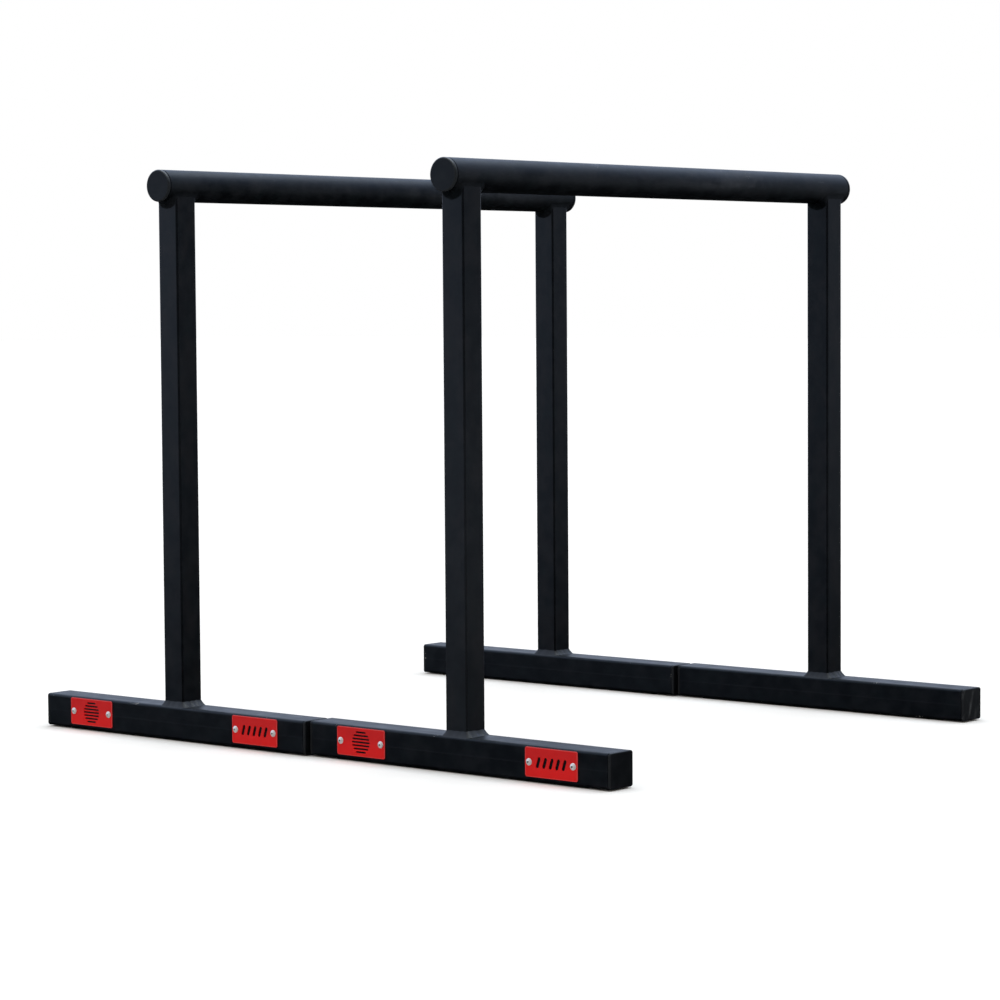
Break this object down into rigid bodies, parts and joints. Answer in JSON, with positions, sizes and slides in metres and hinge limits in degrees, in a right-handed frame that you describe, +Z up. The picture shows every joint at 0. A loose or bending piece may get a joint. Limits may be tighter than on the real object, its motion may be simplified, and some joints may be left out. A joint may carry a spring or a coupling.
{
  "type": "parallette bars",
  "caption": "Tall free-standing parallette bars: welded square-tube frames with a round grip bar, plugged tube ends and red riveted plates on the front feet.",
  "frame": {"origin": "on the floor, midway between the two frames", "axes": "+X along the feet from the left frame to the right, +Y along the bars away from the plates, +Z up"},
  "size_m": [1.123, 0.977, 0.8633],
  "materials": {
    "black_powder_coat": "satin black powder coat over steel, scuffed on the edges",
    "cap_plastic": "fine-grained black moulded plastic",
    "plate_red": "red coated sheet metal",
    "rivet_aluminium": "bright aluminium",
    "mandrel_steel": "bare broken steel",
    "floor_rubber": "matt black rubber"
  },
  "bodies": {
    "left_frame": {"left_top_bar": "black_powder_coat", "left_front_bar_cap": "cap_plastic", "left_rear_bar_cap": "cap_plastic", "left_front_foot": "black_powder_coat", "left_rear_foot": "black_powder_coat", "left_round_cut_plate": "plate_red", "left_row_cut_plate": "plate_red", "left_plate_rivets": "rivet_aluminium", "left_rivet_mandrels": "mandrel_steel", "left_front_upright": "black_powder_coat", "left_front_base_weld": "black_powder_coat", "left_front_saddle_weld": "black_powder_coat", "left_front_floor_strip": "floor_rubber", "left_front_outer_foot_cap": "cap_plastic", "left_front_inner_foot_cap": "cap_plastic", "left_rear_upright": "black_powder_coat", "left_rear_base_weld": "black_powder_coat", "left_rear_saddle_weld": "black_powder_coat", "left_rear_floor_strip": "floor_rubber", "left_rear_outer_foot_cap": "cap_plastic", "left_rear_inner_foot_cap": "cap_plastic"},
    "right_frame": {"right_top_bar": "black_powder_coat", "right_front_bar_cap": "cap_plastic", "right_rear_bar_cap": "cap_plastic", "right_front_foot": "black_powder_coat", "right_rear_foot": "black_powder_coat", "right_round_cut_plate": "plate_red", "right_row_cut_plate": "plate_red", "right_plate_rivets": "rivet_aluminium", "right_rivet_mandrels": "mandrel_steel", "right_front_upright": "black_powder_coat", "right_front_base_weld": "black_powder_coat", "right_front_saddle_weld": "black_powder_coat", "right_front_floor_strip": "floor_rubber", "right_front_outer_foot_cap": "cap_plastic", "right_front_inner_foot_cap": "cap_plastic", "right_rear_upright": "black_powder_coat", "right_rear_base_weld": "black_powder_coat", "right_rear_saddle_weld": "black_powder_coat", "right_rear_floor_strip": "floor_rubber", "right_rear_outer_foot_cap": "cap_plastic", "right_rear_inner_foot_cap": "cap_plastic"}
  },
  "joints": [
    {"name": "frame_spacing", "type": "slide", "parent": "left_frame", "child": "right_frame", "axis": [1, 0, 0], "range_m": [0, 0.2]}
  ]
}
